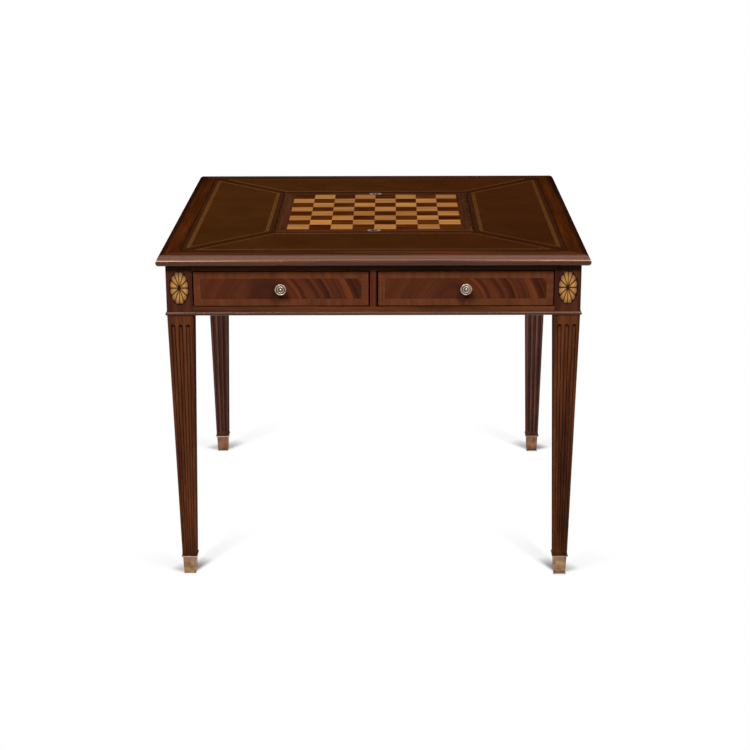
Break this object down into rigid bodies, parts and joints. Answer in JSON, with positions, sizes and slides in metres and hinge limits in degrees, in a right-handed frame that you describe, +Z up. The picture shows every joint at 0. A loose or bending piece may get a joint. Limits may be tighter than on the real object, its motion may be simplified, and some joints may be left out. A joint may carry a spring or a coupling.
{
  "type": "chess table",
  "caption": "Square games table with a lift-out inlaid chess board in a leather top, shallow drawers and fluted tapered legs on brass sabots.",
  "frame": {"origin": "on the floor, under the middle of the table's top", "axes": "+Z up, -Y towards the side with the drawers, +X to the right of someone facing the drawers"},
  "size_m": [0.952, 0.9524, 0.762],
  "materials": {
    "mahogany": "dark mahogany, satin polish",
    "flame_mahogany": "flame figured mahogany veneer, satin polish",
    "crossband": "straight grained veneer, satin polish",
    "leather": "brown leather with gold tooling",
    "board_wood": "walnut, satin polish",
    "light_squares": "light veneer, satin polish",
    "dark_squares": "dark veneer, satin polish",
    "satinwood": "satinwood inlay",
    "ebonised_wood": "dark stained inlay",
    "secondary_wood": "plain unpolished hardwood",
    "lining": "plain brown leather lining",
    "brass": "aged brass",
    "antique_metal": "aged pale brass",
    "steel": "plain screw steel"
  },
  "bodies": {
    "frame": {"apron_left": "mahogany", "apron_rear": "mahogany", "apron_right": "mahogany", "bead_moulding": "mahogany", "drawer_divider": "mahogany", "drawer_guides": "secondary_wood", "drawer_kickers": "secondary_wood", "drawer_runners": "secondary_wood", "drawer_stops": "secondary_wood", "front_bottom_rail": "mahogany", "front_top_rail": "mahogany", "inner_rail": "secondary_wood", "leather_front": "leather", "leather_left": "leather", "leather_rear": "leather", "leather_right": "leather", "leg_front_left": "mahogany", "leg_front_right": "mahogany", "leg_rear_left": "mahogany", "leg_rear_right": "mahogany", "patera_grounds": "ebonised_wood", "patera_petals": "satinwood", "sabot_screws": "steel", "sabots": "brass", "top_border_front": "mahogany", "top_border_left": "mahogany", "top_border_rear": "mahogany", "top_border_right": "mahogany", "top_cleats": "secondary_wood", "top_panel": "secondary_wood", "top_screws": "steel", "well_bearers": "secondary_wood", "well_floor": "secondary_wood", "well_lining": "lining", "well_walls": "secondary_wood"},
    "drawer_left": {"drawer_left_back": "secondary_wood", "drawer_left_bottom": "secondary_wood", "drawer_left_crossband": "crossband", "drawer_left_flame_veneer": "flame_mahogany", "drawer_left_front": "secondary_wood", "drawer_left_knob": "antique_metal", "drawer_left_knob_screw": "steel", "drawer_left_sides": "secondary_wood"},
    "drawer_right": {"drawer_right_back": "secondary_wood", "drawer_right_bottom": "secondary_wood", "drawer_right_crossband": "crossband", "drawer_right_flame_veneer": "flame_mahogany", "drawer_right_front": "secondary_wood", "drawer_right_knob": "antique_metal", "drawer_right_knob_screw": "steel", "drawer_right_sides": "secondary_wood"},
    "chess_board": {"board_border": "board_wood", "board_core": "board_wood", "pull_cups": "antique_metal", "ring_pins": "antique_metal", "squares_dark": "dark_squares", "squares_light": "light_squares"},
    "ring_front": {"ring_front": "antique_metal"},
    "ring_rear": {"ring_rear": "antique_metal"}
  },
  "joints": [
    {"name": "drawer_left_slide", "type": "slide", "parent": "frame", "child": "drawer_left", "axis": [0, -1, 0], "range_m": [0, 0.15]},
    {"name": "drawer_right_slide", "type": "slide", "parent": "frame", "child": "drawer_right", "axis": [0, -1, 0], "range_m": [0, 0.15]},
    {"name": "board_lift", "type": "slide", "parent": "frame", "child": "chess_board", "axis": [0, 0, 1], "range_m": [0, 0.15]},
    {"name": "ring_front_hinge", "type": "hinge", "parent": "chess_board", "child": "ring_front", "pos_m": [0, -0.2081, 0.7602], "axis": [-1, 0, 0], "range_deg": [0, 90]},
    {"name": "ring_rear_hinge", "type": "hinge", "parent": "chess_board", "child": "ring_rear", "pos_m": [0, 0.2081, 0.7602], "axis": [1, 0, 0], "range_deg": [0, 90]}
  ]
}
